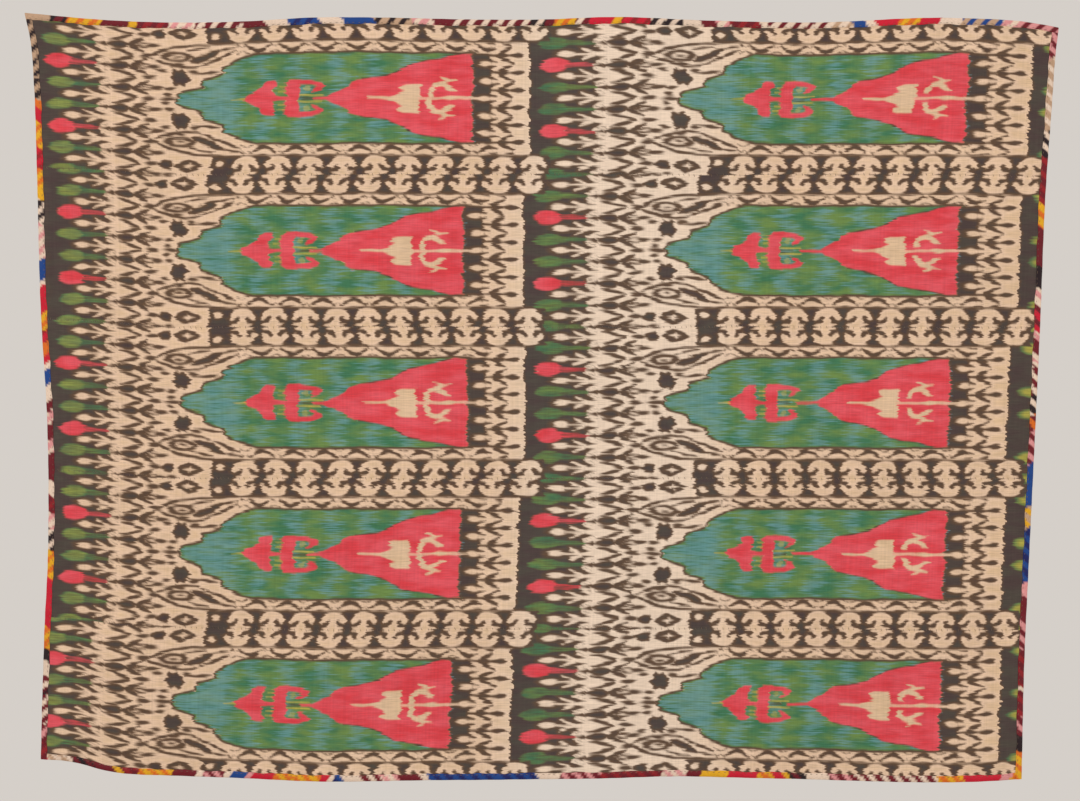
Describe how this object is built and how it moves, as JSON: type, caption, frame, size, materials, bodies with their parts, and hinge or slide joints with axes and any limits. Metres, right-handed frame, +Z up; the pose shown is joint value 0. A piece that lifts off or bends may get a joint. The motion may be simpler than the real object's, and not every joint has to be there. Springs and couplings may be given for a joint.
{
  "type": "ikat wall hanging",
  "caption": "Wide, unlined wall hanging of ikat loom widths sewn selvedge to selvedge, with sideways niches and a narrow multicoloured binding round its edges.",
  "frame": {"origin": "middle of the top edge, where the hanging is held to the wall", "axes": "+Z up, +X to the right of a viewer who faces the cloth, along the ikat threads, -Y out of the cloth's face"},
  "size_m": [2.066, 0.0217, 1.539],
  "materials": {
    "ikat_cloth": "hand-woven warp-faced cloth, soft silk sheen, resist-dyed cream, charcoal, red, green and blue with feathered edges",
    "edge_binding": "narrow folded strip of a second ikat, in slanting patches of maroon, red, yellow, blue and cream, running-stitched down"
  },
  "bodies": {
    "root": {"panel_1": "ikat_cloth", "panel_2": "ikat_cloth", "panel_3": "ikat_cloth", "panel_4": "ikat_cloth", "panel_5": "ikat_cloth", "binding_top": "edge_binding", "binding_bottom": "edge_binding", "binding_left": "edge_binding", "binding_right": "edge_binding"}
  },
  "joints": []
}
